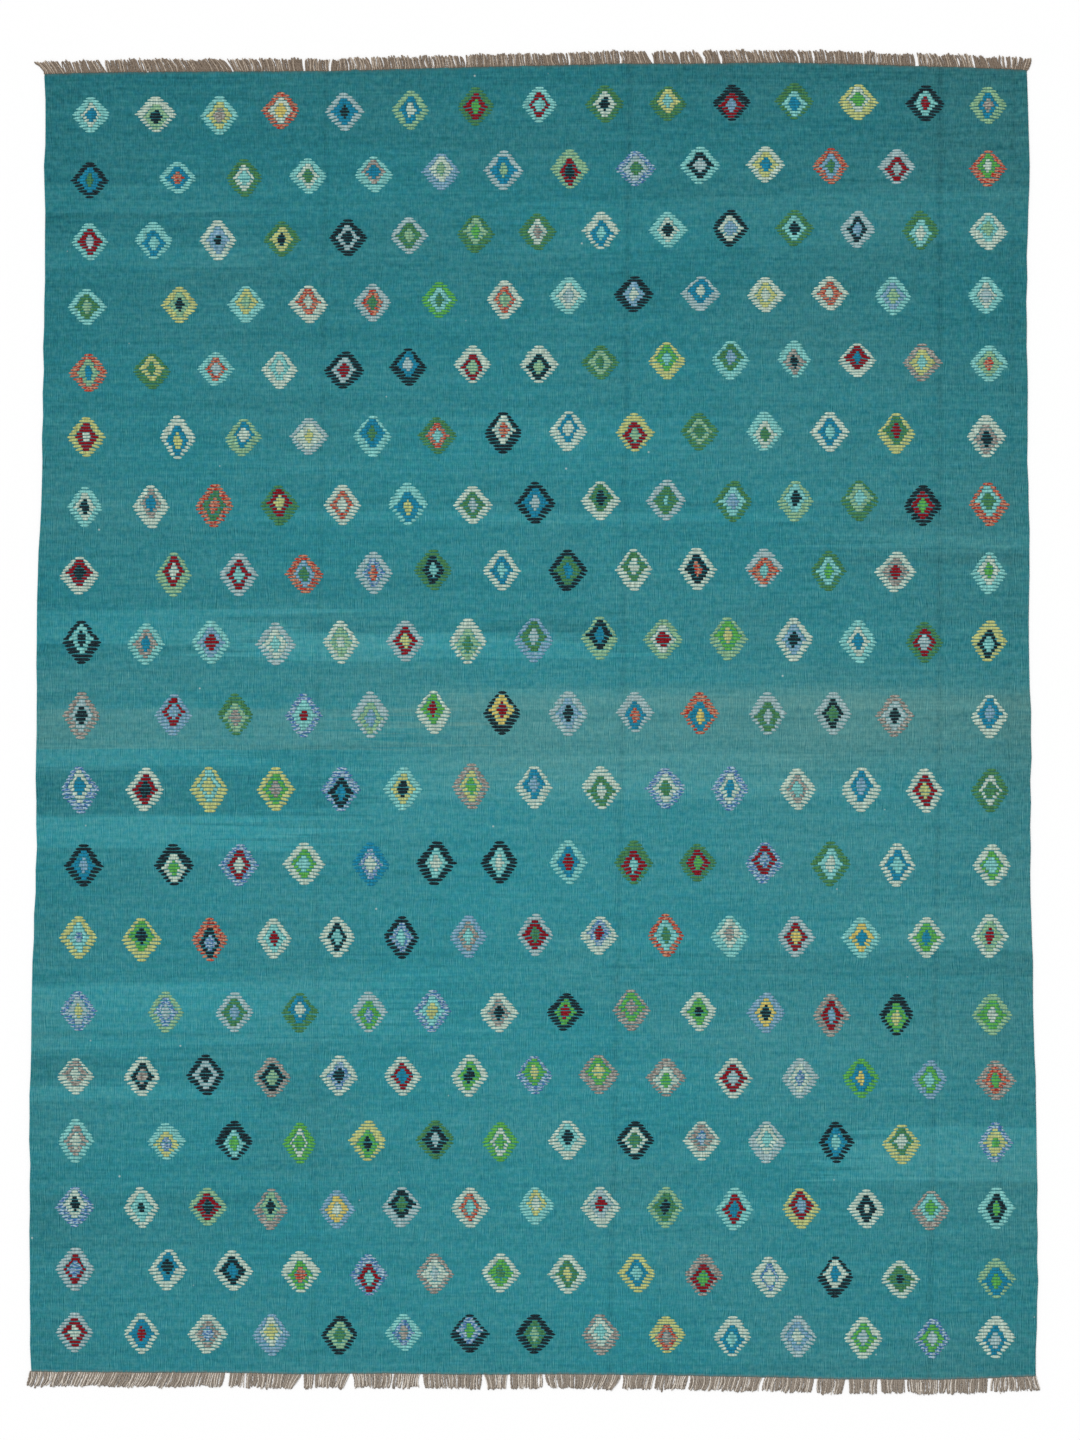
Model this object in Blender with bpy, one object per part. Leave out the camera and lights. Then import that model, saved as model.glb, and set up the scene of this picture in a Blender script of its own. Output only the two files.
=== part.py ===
"""A flat-woven wool rug lying on a floor: one cloth with a cut warp fringe at either end.

X runs across the rug, Y along it and Z up, in metres. The middle of the whole
rug, fringes included, is over the origin, and its underside lies on Z = 0.
"""

from collections import namedtuple

import bpy
import numpy as np

# ---- driving dimensions ----------------------------------------------------------------------

HALF_WIDTH = 1.275            # selvedge to centre line, before the out-of-true offsets below
HALF_LENGTH = 1.675           # last weft to centre line, before the offsets below
THICKNESS = 0.003             # weft-faced wool weave
EDGE_THICKNESS = 0.0022       # height of the cloth's side wall, under its rounded shoulder
SHOULDER = 0.004              # width of that rounded shoulder
PART_GAP = 0.0003             # between the cloth's end and a fringe's backing strip

WAVE_HEIGHT = 0.0003          # slow unevenness of the upper face
WAVES_ACROSS = 3.4            # how many such waves the width holds, and how many the length
WAVES_ALONG = 5.2

STRIP_WIDTH = 0.003           # backing strip that joins the roots of a fringe
STRIP_HEIGHT = 0.0020
LOCK_PITCH = 0.0176           # one lock stands for four or five warp ends
LOCK_ROOT_FILL = 0.90         # share of its pitch that a lock fills at the root and at the tip
LOCK_TIP_FILL = 0.80
LOCK_TIP_HEIGHT = 0.0014
LOCK_TOP_FILL = 0.8           # a lock's upper side against its lower side
LOCK_RINGS = (0.5, 1.0)       # where along a lock its two rings of points lie
LOCK_CLEARANCE = 0.0012       # least space between neighbouring tips
LOCK_BEND = 1.4               # how late along its length a lock turns aside
LENGTH_JITTER = 0.0035        # uneven cut of the warp ends
LEAN_JITTER = 0.0015
UPPER_FRINGE_LENGTH = 0.030
LOWER_FRINGE_LENGTH = 0.032

# How far each selvedge stands outside HALF_WIDTH, at a place along the rug.
SelvedgeRow = namedtuple("SelvedgeRow", "along left right")
SELVEDGES = [
    SelvedgeRow(-1.675, 0.016, 0.014),
    SelvedgeRow(-1.360, 0.018, 0.018),
    SelvedgeRow(-1.020, 0.018, 0.015),
    SelvedgeRow(-0.840, 0.015, 0.010),
    SelvedgeRow(-0.590, 0.010, 0.005),
    SelvedgeRow(-0.460, 0.003, 0.000),
    SelvedgeRow(-0.200, 0.002, 0.001),
    SelvedgeRow(0.060, 0.000, 0.000),
    SelvedgeRow(0.310, 0.000, -0.005),
    SelvedgeRow(0.420, -0.005, -0.002),
    SelvedgeRow(0.570, -0.011, -0.005),
    SelvedgeRow(0.830, -0.016, -0.008),
    SelvedgeRow(1.240, -0.021, -0.008),
    SelvedgeRow(1.340, -0.023, -0.005),
    SelvedgeRow(1.440, -0.018, -0.003),
    SelvedgeRow(1.550, -0.023, -0.004),
    SelvedgeRow(1.675, -0.020, -0.009),
]

# How far each end stands outside HALF_LENGTH, at a place across the rug.
EndRow = namedtuple("EndRow", "across upper lower")
ENDS = [
    EndRow(-1.275, -0.010, -0.010),
    EndRow(-1.040, -0.009, -0.007),
    EndRow(-0.780, -0.007, -0.007),
    EndRow(-0.620, -0.007, -0.002),
    EndRow(-0.470, -0.005, -0.006),
    EndRow(-0.210, 0.003, -0.002),
    EndRow(0.040, 0.008, -0.003),
    EndRow(0.200, 0.013, -0.002),
    EndRow(0.350, 0.011, 0.000),
    EndRow(0.560, 0.016, 0.004),
    EndRow(0.760, 0.014, 0.009),
    EndRow(0.920, 0.008, 0.011),
    EndRow(1.120, 0.003, 0.009),
    EndRow(1.275, -0.004, 0.002),
]

# Old fold lines: where each crosses the lower end, the middle and the upper end, and its trough.
CreaseRow = namedtuple("CreaseRow", "lower middle upper depth half_width")
CREASES = [
    CreaseRow(-0.563, -0.553, -0.529, 0.0006, 0.012),
    CreaseRow(0.195, 0.229, 0.247, 0.0009, 0.012),
    CreaseRow(1.015, 1.041, 1.043, 0.0009, 0.012),
    CreaseRow(1.187, 1.221, 1.231, 0.0004, 0.010),
]
CREASE_COLUMNS = (-2.0, -0.8, 0.0, 0.8, 2.0)      # mesh columns over a crease, in half-widths
PLAIN_COLUMNS = (3, 3, 3, 0, 0)                   # mesh columns on each plain stretch between them
ROW_COUNT = 30

# Tufts of a fringe from left to right: where a tuft starts, the bare warp gap before it, and
# how far its first and its last lock lean to the right over their length.
TuftRow = namedtuple("TuftRow", "start gap first_lean last_lean")
UPPER_TUFTS = [
    TuftRow(-1.254, 0.000, -0.026, -0.020),
    TuftRow(-1.200, 0.000, -0.010, -0.008),
    TuftRow(-1.092, 0.002, -0.008, -0.009),
    TuftRow(-0.987, 0.003, -0.012, -0.022),
    TuftRow(-0.768, 0.004, -0.016, -0.008),
    TuftRow(-0.586, 0.004, -0.003, -0.002),
    TuftRow(-0.519, 0.004, 0.003, -0.004),
    TuftRow(-0.414, 0.002, -0.007, -0.007),
    TuftRow(-0.257, 0.003, -0.006, -0.003),
    TuftRow(-0.033, 0.002, -0.004, -0.008),
    TuftRow(0.224, 0.005, -0.004, -0.016),
    TuftRow(0.308, 0.004, -0.001, -0.015),
    TuftRow(0.380, 0.004, -0.003, -0.014),
    TuftRow(0.440, 0.003, -0.010, -0.010),
    TuftRow(0.683, 0.003, -0.008, -0.006),
    TuftRow(0.848, 0.002, 0.000, -0.003),
    TuftRow(0.987, 0.008, -0.003, -0.012),
    TuftRow(1.200, 0.002, -0.006, 0.008),
]
LOWER_TUFTS = [
    TuftRow(-1.291, 0.000, -0.010, -0.014),
    TuftRow(-1.164, 0.006, -0.016, -0.018),
    TuftRow(-0.975, 0.000, -0.016, -0.007),
    TuftRow(-0.778, 0.014, -0.005, -0.012),
    TuftRow(-0.589, 0.006, -0.001, -0.008),
    TuftRow(-0.465, 0.006, -0.002, -0.006),
    TuftRow(-0.283, 0.008, 0.002, -0.003),
    TuftRow(-0.129, 0.005, 0.006, -0.004),
    TuftRow(-0.059, 0.008, 0.000, 0.000),
    TuftRow(0.031, 0.009, 0.004, -0.016),
    TuftRow(0.229, 0.006, -0.002, -0.008),
    TuftRow(0.316, 0.006, -0.006, -0.014),
    TuftRow(0.594, 0.006, -0.006, -0.010),
    TuftRow(0.727, 0.009, 0.000, -0.008),
    TuftRow(0.807, 0.009, 0.000, -0.001),
    TuftRow(0.889, 0.008, 0.003, -0.002),
    TuftRow(0.959, 0.008, 0.004, -0.002),
    TuftRow(1.175, 0.012, -0.003, 0.014),
]

TEAL = (52, 128, 138)         # yarn colours as 8-bit sRGB
WARP_UPPER = (140, 125, 112)
WARP_LOWER = (158, 144, 131)
WOOL_ROUGHNESS = 0.92


# ---- outline of the cloth --------------------------------------------------------------------

def smooth_column(table, at, column):
    """A table's column read at the places in its first column, as a curve without corners.

    A cubic runs between two rows, and its slope at a row is that of the line through the
    two rows beside it.
    """
    place = np.array([row[0] for row in table])
    value = np.array([getattr(row, column) for row in table])
    slope = np.gradient(value, place)
    at = np.clip(at, place[0], place[-1])
    index = np.clip(np.searchsorted(place, at, side="right") - 1, 0, len(place) - 2)
    span = place[index + 1] - place[index]
    t = (at - place[index]) / span
    return (value[index] * (1 + 2 * t) * (1 - t) ** 2
            + slope[index] * span * t * (1 - t) ** 2
            + value[index + 1] * t ** 2 * (3 - 2 * t)
            + slope[index + 1] * span * t ** 2 * (t - 1))


def selvedge(side, along):
    """X of the left or the right selvedge at places along the rug."""
    sign = -1 if side == "left" else 1
    return sign * (HALF_WIDTH + smooth_column(SELVEDGES, along, side))


def end_edge(end, across):
    """Y of the upper or the lower end at places across the rug."""
    sign = -1 if end == "lower" else 1
    return sign * (HALF_LENGTH + smooth_column(ENDS, across, end))


def crease_line(crease, along):
    """X of a fold line: straight from the lower end to the middle, and on to the upper end."""
    stations = (-HALF_LENGTH, 0.0, HALF_LENGTH)
    return np.interp(along, stations, (crease.lower, crease.middle, crease.upper))


# ---- the cloth -------------------------------------------------------------------------------

def cloth_columns(along):
    """X of every mesh column at one place along the rug, from selvedge to selvedge.

    Columns lie at the rounded shoulders and over each fold line, and the plain
    stretches between them are split evenly.
    """
    left, right = selvedge("left", along), selvedge("right", along)
    groups = [np.array([left, left + SHOULDER])]
    for crease in CREASES:
        groups.append(crease_line(crease, along) + np.array(CREASE_COLUMNS) * crease.half_width)
    groups.append(np.array([right - SHOULDER, right]))
    columns = [groups[0]]
    for before, after, plain in zip(groups, groups[1:], PLAIN_COLUMNS):
        columns.append(np.linspace(before[-1], after[0], plain + 2)[1:-1])
        columns.append(after)
    return np.concatenate(columns)


def cloth_rows():
    """Places of the mesh rows along the rug, as shares of its length, with both shoulders."""
    shoulder = SHOULDER / (2 * HALF_LENGTH)
    return np.concatenate([[0.0], np.linspace(shoulder, 1 - shoulder, ROW_COUNT), [1.0]])


def upper_face_height(x, y):
    """Height of the cloth's upper face: its thickness, slow waves, and a trough at each fold."""
    waves = np.sin(WAVES_ACROSS * np.pi * x / HALF_WIDTH) * np.sin(WAVES_ALONG * np.pi * y / HALF_LENGTH)
    height = THICKNESS + WAVE_HEIGHT * waves
    for crease in CREASES:
        offset = (x - crease_line(crease, y)) / crease.half_width
        height -= crease.depth * np.exp(-offset ** 2)
    return height


def cloth_surface():
    """Points of the cloth's upper face as rows by columns by XYZ."""
    share = cloth_rows()
    nominal = (2 * share - 1) * HALF_LENGTH
    x = np.array([cloth_columns(along) for along in nominal])
    lower, upper = end_edge("lower", x), end_edge("upper", x)
    y = lower + share[:, None] * (upper - lower)
    z = upper_face_height(x, y)
    z[[0, -1], :] = EDGE_THICKNESS
    z[:, [0, -1]] = EDGE_THICKNESS
    return np.stack([x, y, z], axis=-1)


def cloth_mesh(surface):
    """Vertices and faces of the closed cloth: its upper face, side walls and a flat underside."""
    rows, columns = surface.shape[:2]
    index = np.arange(rows * columns).reshape(rows, columns)
    quads = np.stack([index[:-1, :-1], index[:-1, 1:], index[1:, 1:], index[1:, :-1]], axis=-1)
    faces = quads.reshape(-1, 4).tolist()
    rim = np.concatenate([index[0, :-1], index[:-1, -1], index[-1, :0:-1], index[:0:-1, 0]])
    points = surface.reshape(-1, 3)
    floor = points[rim] * (1, 1, 0)
    under = np.arange(len(rim)) + len(points)
    walls = np.stack([rim, under, np.roll(under, -1), np.roll(rim, -1)], axis=-1)
    faces += walls.tolist()
    faces.append(under[::-1].tolist())
    return np.concatenate([points, floor]), faces


# ---- the fringes -----------------------------------------------------------------------------

def fringe_locks(tufts, last_x, length, rng):
    """Roots and tips of all locks of one fringe, from left to right.

    A tuft is filled evenly with locks. The lean runs evenly from its first lock to its
    last, with a little unevenness, and each tip keeps clear of the tip before it.
    """
    starts = [tuft.start for tuft in tufts[1:]] + [last_x]
    gaps = [tuft.gap for tuft in tufts[1:]] + [0.0]
    centre, width, lean = [], [], []
    for tuft, next_start, next_gap in zip(tufts, starts, gaps):
        room = next_start - next_gap - tuft.start
        count = max(1, int(round(room / LOCK_PITCH)))
        cell = room / count
        centre.append(tuft.start + cell * (np.arange(count) + 0.5))
        width.append(np.full(count, cell))
        lean.append(np.linspace(tuft.first_lean, tuft.last_lean, count))
    centre, width, lean = (np.concatenate(part) for part in (centre, width, lean))
    tip = centre + lean + rng.uniform(-LEAN_JITTER, LEAN_JITTER, len(centre))
    tip_width = width * LOCK_TIP_FILL
    for lock in range(1, len(tip)):
        reach = (tip_width[lock - 1] + tip_width[lock]) / 2 + LOCK_CLEARANCE
        tip[lock] = max(tip[lock], tip[lock - 1] + reach)
    lengths = length + rng.uniform(-LENGTH_JITTER, LENGTH_JITTER, len(centre))
    return centre, width, tip, tip_width, lengths


def fringe_mesh(tufts, end_line, direction, length, seed):
    """Vertices and faces of one fringe: a backing strip along the cloth's end, and its locks.

    The strip is a four-sided bar with a station at both sides of each root. Where a lock
    grows, two further rings of four points take the place of the strip's outer face. The
    direction is 1 where the locks point along +Y and -1 where they point along -Y.
    """
    rng = np.random.default_rng(seed)
    first_x, last_x = end_line[0, 0], end_line[-1, 0]
    centre, width, tip, tip_width, lengths = fringe_locks(tufts, last_x, length, rng)
    half_root = width * LOCK_ROOT_FILL / 2
    sides = np.stack([centre - half_root, centre + half_root], axis=-1)
    stations = np.concatenate([[first_x], sides.ravel(), [last_x]])
    inner = np.interp(stations, end_line[:, 0], end_line[:, 1]) + direction * PART_GAP
    outer = inner + direction * STRIP_WIDTH

    zero, top = np.zeros(len(stations)), np.full(len(stations), STRIP_HEIGHT)
    strip = np.stack([
        np.stack([stations, inner, zero], axis=-1), np.stack([stations, outer, zero], axis=-1),
        np.stack([stations, outer, top], axis=-1), np.stack([stations, inner, top], axis=-1),
    ], axis=1)
    points = [strip.reshape(-1, 3)]
    corner = np.arange(strip.shape[0] * 4).reshape(-1, 4)
    faces = [corner[0].tolist(), corner[-1, ::-1].tolist()]
    for side in range(4):
        following = (side + 1) % 4
        wall = np.stack([corner[:-1, side], corner[1:, side],
                         corner[1:, following], corner[:-1, following]], axis=-1)
        faces += (wall[0::2] if side == 1 else wall).tolist()

    count = strip.shape[0] * 4
    root_y = (outer[1:-1:2] + outer[2:-1:2]) / 2
    for lock in range(len(centre)):
        left, right = corner[2 * lock + 1], corner[2 * lock + 2]
        ring = [left[1], right[1], right[2], left[2]]
        for share in LOCK_RINGS:
            x = centre[lock] + (tip[lock] - centre[lock]) * share ** LOCK_BEND
            y = root_y[lock] + direction * lengths[lock] * share
            half = half_root[lock] + (tip_width[lock] / 2 - half_root[lock]) * share
            rise = STRIP_HEIGHT + (LOCK_TIP_HEIGHT - STRIP_HEIGHT) * share
            points.append(np.array([
                (x - half, y, 0.0), (x + half, y, 0.0),
                (x + half * LOCK_TOP_FILL, y, rise), (x - half * LOCK_TOP_FILL, y, rise)]))
            following = [count, count + 1, count + 2, count + 3]
            for side in range(4):
                ahead = (side + 1) % 4
                faces.append([ring[side], ring[ahead], following[ahead], following[side]])
            ring = following
            count += 4
        faces.append(ring)
    if direction > 0:
        faces = [face[::-1] for face in faces]
    return np.concatenate(points), faces


# ---- objects ---------------------------------------------------------------------------------

def wool(name, colour):
    """A matt wool material of one 8-bit sRGB colour."""
    encoded = np.array(colour) / 255
    linear = np.where(encoded <= 0.04045, encoded / 12.92, ((encoded + 0.055) / 1.055) ** 2.4)
    material = bpy.data.materials.new(name)
    material.use_nodes = True
    shader = material.node_tree.nodes["Principled BSDF"]
    shader.inputs["Base Color"].default_value = (*linear, 1.0)
    shader.inputs["Roughness"].default_value = WOOL_ROUGHNESS
    shader.inputs["Metallic"].default_value = 0.0
    return material


def add_object(name, points, faces, material):
    """A mesh object at the origin with one material."""
    mesh = bpy.data.meshes.new(name)
    mesh.from_pydata(points.tolist(), [], faces)
    mesh.validate()
    mesh.materials.append(material)
    bpy.context.scene.collection.objects.link(bpy.data.objects.new(name, mesh))


for old in list(bpy.data.objects):
    bpy.data.objects.remove(old, do_unlink=True)

cloth = cloth_surface()
solids = {
    "kilim_cloth": (cloth_mesh(cloth), wool("teal_weave", TEAL)),
    "warp_fringe_upper": (
        fringe_mesh(UPPER_TUFTS, cloth[-1], 1, UPPER_FRINGE_LENGTH, seed=11),
        wool("warp_yarn_upper", WARP_UPPER)),
    "warp_fringe_lower": (
        fringe_mesh(LOWER_TUFTS, cloth[0], -1, LOWER_FRINGE_LENGTH, seed=12),
        wool("warp_yarn_lower", WARP_LOWER)),
}
every_point = np.concatenate([points for (points, _), _ in solids.values()])
middle = (every_point.min(axis=0) + every_point.max(axis=0)) / 2 * (1, 1, 0)
for name, ((points, faces), material) in solids.items():
    add_object(name, points - middle, faces, material)
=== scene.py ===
"""A flat-woven wool rug on a pale floor, seen from straight above.

The sections follow the rug as it is made: the cloth and its two selvedges, the brocaded
diamonds woven into it, the cut warp fringes at both ends, and last the floor, the light
and the camera. X runs across the rug, Y along it and Z up, in metres.
"""

from collections import namedtuple
import math

import bpy
import numpy as np
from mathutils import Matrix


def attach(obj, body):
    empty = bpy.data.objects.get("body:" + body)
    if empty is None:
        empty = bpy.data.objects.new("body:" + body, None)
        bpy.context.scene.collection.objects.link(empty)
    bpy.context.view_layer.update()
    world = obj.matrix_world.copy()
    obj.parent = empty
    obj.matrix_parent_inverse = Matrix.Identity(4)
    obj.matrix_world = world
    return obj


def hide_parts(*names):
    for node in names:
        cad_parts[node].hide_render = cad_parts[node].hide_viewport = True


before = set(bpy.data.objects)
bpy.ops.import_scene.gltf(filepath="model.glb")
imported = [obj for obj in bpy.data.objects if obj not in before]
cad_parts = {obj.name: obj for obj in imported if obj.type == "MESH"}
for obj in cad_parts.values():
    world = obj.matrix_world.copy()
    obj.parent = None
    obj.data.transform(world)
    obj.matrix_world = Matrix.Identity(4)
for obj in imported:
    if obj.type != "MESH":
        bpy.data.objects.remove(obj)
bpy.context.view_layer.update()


# ==== The cloth ===============================================================================
# One weft-faced wool sheet: teal weft packed over undyed warps, so that the warps show only as
# fine ribs along the rug. The selvedges are the same wefts turned round the outer warps. It lies
# flat, with soft old fold lines along it and lighter and darker bands where the dye lot changed.

RIBS = 700                    # warp ribs across the rug
RIB_RELIEF = 0.00022          # how far a rib's crest and valley lie from the mean face
RIB_UNEVEN, RELIEF_UNEVEN = 0.28, 0.30  # how much ribs differ in width and in relief
RIB_WANDER = 0.0005           # how far ribs drift sideways along the rug
FACE_HEIGHT = 0.0029          # mean height of the upper face above the floor
WALL_HEIGHT = 0.0020          # where the rounded edge starts
CLOTH_ROWS = 58               # mesh rows along the rug, besides the rounded edges
EDGE_ROUND = 0.003            # width of the rounded edge
HEM = 0.0075                  # width of the darkened wefts at both ends
HEM_DARKENING = (1.0, 0.6, 0.0)    # how far they turn to the darker end colour: outermost, past the rounded edge, innermost
SWELL = 0.0003                # slow unevenness of the face
SWELL_ACROSS, SWELL_ALONG = 8.1, 4.7  # how fast it swells, in radians per metre
SELVEDGE_WAVER = 0.0016       # small in-and-out of each selvedge
SELVEDGE_DRAW = 0.0014        # how far the wefts draw each selvedge in
END_WAVER = 0.0007            # and of each end
MAP_FACE, MAP_WALL = 0.990, 0.998  # how much of the bake map the face fills, and its walls reach

# Where the last wefts of the upper end are pulled out, how widely and how far, and how soon this
# dies away from the end, as a power of the share of the length.
SNAG_X, SNAG_HALF, SNAG_RISE, SNAG_FADE = -0.458, 0.009, 0.0045, 40

# Where each fold line crosses the lower end, the middle and the upper end, and its trough.
FoldRow = namedtuple("FoldRow", "lower middle upper depth half_width")
FOLDS = [
    FoldRow(-0.563, -0.553, -0.529, 0.0007, 0.011),
    FoldRow(0.195, 0.229, 0.247, 0.0011, 0.012),
    FoldRow(1.015, 1.041, 1.043, 0.0011, 0.012),
    FoldRow(1.187, 1.221, 1.231, 0.0005, 0.010),
]

# The outline is that of the solid's underside, from left to right and from the lower end up.
ON_FLOOR = 0.00001            # a point below this belongs to the underside
NEAR_END = 1.60               # past this, a point of the outline belongs to an end
rim = np.array([v.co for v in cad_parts["kilim_cloth"].data.vertices])
rim = np.unique(rim[rim[:, 2] < ON_FLOOR].round(6), axis=0)
lower_line = rim[rim[:, 1] < -NEAR_END]
upper_line = rim[rim[:, 1] > NEAR_END]
lower_line = lower_line[lower_line[:, 0].argsort()]
upper_line = upper_line[upper_line[:, 0].argsort()]
sides = rim[abs(rim[:, 1]) < NEAR_END]
sides = sides[sides[:, 1].argsort()]
left_line = np.vstack([lower_line[:1], sides[sides[:, 0] < 0], upper_line[:1]])
right_line = np.vstack([lower_line[-1:], sides[sides[:, 0] > 0], upper_line[-1:]])
MEAN_WIDTH = float(np.mean(right_line[:, 0]) - np.mean(left_line[:, 0]))
MEAN_LENGTH = float(np.mean(upper_line[:, 1]) - np.mean(lower_line[:, 1]))


def waver(place, phase):
    """A fixed uneven wave between about -1 and 1: four sines of unlike lengths over 2.4."""
    lengths = (0.041, 0.067, 0.113, 0.289)
    return sum(np.sin(2 * math.pi * place / length + phase * (n + 1))
               for n, length in enumerate(lengths)) / 2.4


def cloth_place(across, along):
    """X and Y of points of the cloth, from shares of its width and of its length.

    A share of the width runs between the two selvedges at that height. The share of the
    length then runs between the two ends at that X.
    """
    nominal = lower_line[:, 1].mean() + along * MEAN_LENGTH
    left = np.interp(nominal, left_line[:, 1], left_line[:, 0])
    right = np.interp(nominal, right_line[:, 1], right_line[:, 0])
    left = left + SELVEDGE_DRAW + SELVEDGE_WAVER * waver(nominal, 0.4)
    right = right - SELVEDGE_DRAW + SELVEDGE_WAVER * waver(nominal, 2.1)
    x = left + across * (right - left)
    bottom = np.interp(x, lower_line[:, 0], lower_line[:, 1]) + END_WAVER * waver(x, 3.3)
    top = np.interp(x, upper_line[:, 0], upper_line[:, 1]) + END_WAVER * waver(x, 5.2)
    snag = SNAG_RISE * np.exp(-((x - SNAG_X) / SNAG_HALF) ** 2) * along ** SNAG_FADE
    return x, bottom + along * (top - bottom) + snag


def fold_offset(fold, x, y):
    """How far right of a fold line a place lies, in half-widths of the fold."""
    stations = (-MEAN_LENGTH / 2, 0.0, MEAN_LENGTH / 2)
    return (x - np.interp(y, stations, (fold.lower, fold.middle, fold.upper))) / fold.half_width


def face_height(x, y):
    """Height of the cloth's mean face: its thickness, a slow swell, and a trough at each fold."""
    height = FACE_HEIGHT + SWELL * np.sin(SWELL_ACROSS * x + 0.5) * np.sin(SWELL_ALONG * y)
    for fold in FOLDS:
        height = height - fold.depth * np.exp(-fold_offset(fold, x, y) ** 2)
    return height


def make_piece(name, points, face_groups, material, bake_map=None, **marks):
    """A smooth mesh object at the origin, from arrays of faces that each have one corner count.

    A bake map, if there is one, holds U and V of every face corner, group by group. A mark
    is a named number for each point, which the material reads.
    """
    sizes = np.concatenate([np.full(len(faces), faces.shape[1]) for faces in face_groups])
    corners = np.concatenate([faces.ravel() for faces in face_groups])
    mesh = bpy.data.meshes.new(name)
    mesh.vertices.add(len(points))
    mesh.vertices.foreach_set("co", np.asarray(points, np.float32).ravel())
    mesh.loops.add(len(corners))
    mesh.loops.foreach_set("vertex_index", corners.astype(np.int32))
    mesh.polygons.add(len(sizes))
    starts = np.concatenate([[0], sizes.cumsum()[:-1]])
    mesh.polygons.foreach_set("loop_start", starts.astype(np.int32))
    mesh.update(calc_edges=True)
    if bake_map is not None:
        places = np.concatenate([group.reshape(-1, 2) for group in bake_map])
        layer = mesh.uv_layers.new(name="OFBake")
        layer.uv.foreach_set("vector", places.astype(np.float32).ravel())
    for mark, values in marks.items():
        attribute = mesh.attributes.new(mark, "FLOAT", "POINT")
        attribute.data.foreach_set("value", values.astype(np.float32))
    mesh.validate()
    mesh.shade_smooth()
    mesh.materials.append(material)
    piece = bpy.data.objects.new(name, mesh)
    bpy.context.scene.collection.objects.link(piece)
    return piece


def cloth_mesh():
    """Points, faces, bake map and hem of the closed cloth.

    Columns of the upper face lie in turn in the valley and on the crest of a rib, rows are
    even, and the outermost ones round the edge down to a wall. The underside is one flat face.
    The bake map is the rug seen from above, with the walls turned out around it. The underside
    shares it, because its wefts show the same colours, and comes first, so that the upper face
    is baked over it. The hem is a number for each point: 1 along the two ends of the upper
    face, where the last wefts are darkened, and 0 inside and below.
    """
    rng = np.random.default_rng(5)
    columns = 2 * RIBS + 1
    spacing = np.cumsum(1 + RIB_UNEVEN * rng.uniform(-1, 1, columns))
    across = (spacing - spacing[0]) / (spacing[-1] - spacing[0])
    edge, inner = EDGE_ROUND / MEAN_LENGTH, HEM / MEAN_LENGTH
    even_rows = np.linspace(inner, 1 - inner, CLOTH_ROWS)
    along = np.concatenate([[0.0, edge], even_rows, [1 - edge, 1.0]])
    x, y = cloth_place(across[None, :], along[:, None])
    inside = np.sin(math.pi * across)[None, :]
    x = x + RIB_WANDER * inside * waver(y + 3 * across[None, :], 1.3)
    crest = rng.uniform(1 - RELIEF_UNEVEN, 1 + RELIEF_UNEVEN, columns)
    crest[::2] *= -1
    z = face_height(x, y) + RIB_RELIEF * crest[None, :]
    z[:, [0, -1]] = WALL_HEIGHT
    z[[0, -1], :] = WALL_HEIGHT + RIB_RELIEF * crest[None, :]
    points = np.stack([x, y, z], axis=-1).reshape(-1, 3)
    index = np.arange(len(points)).reshape(x.shape)
    to_end = np.minimum(along, 1 - along)[:, None]
    hem = np.interp(to_end, (0, edge, inner), HEM_DARKENING) * np.ones(x.shape)
    quads = np.stack([index[:-1, :-1], index[:-1, 1:], index[1:, 1:], index[1:, :-1]], axis=-1)
    edge_loop = np.concatenate([index[0, :-1], index[:-1, -1], index[-1, :0:-1], index[:0:-1, 0]])
    under = len(points) + np.arange(len(edge_loop))
    walls = np.stack([edge_loop, under, np.roll(under, -1), np.roll(edge_loop, -1)], axis=-1)
    points = np.vstack([points, points[edge_loop] * (1, 1, 0)])
    hem = np.concatenate([hem.ravel(), np.zeros(len(edge_loop))])
    low, high = points[:, :2].min(axis=0), points[:, :2].max(axis=0)
    centred = (points[:, :2] - (low + high) / 2) / (high - low)
    face_map, wall_map = 0.5 + MAP_FACE * centred, 0.5 + MAP_WALL * centred
    face_map[under] = wall_map[under]
    quads, bottom = quads.reshape(-1, 4), under[None, ::-1]
    face_groups = [bottom, walls, quads]
    bake_map = [0.5 + MAP_FACE * centred[bottom], face_map[walls], face_map[quads]]
    return points, face_groups, bake_map, hem


# Chance unevenness: how strong it is, its lumps per metre along X, Y and Z, and its finer layers.
GrainRow = namedtuple("GrainRow", "strength lumps detail", defaults=(1.0,))
CURVE_MOST = 1.25             # the largest value that a curve's stops may have


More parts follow.
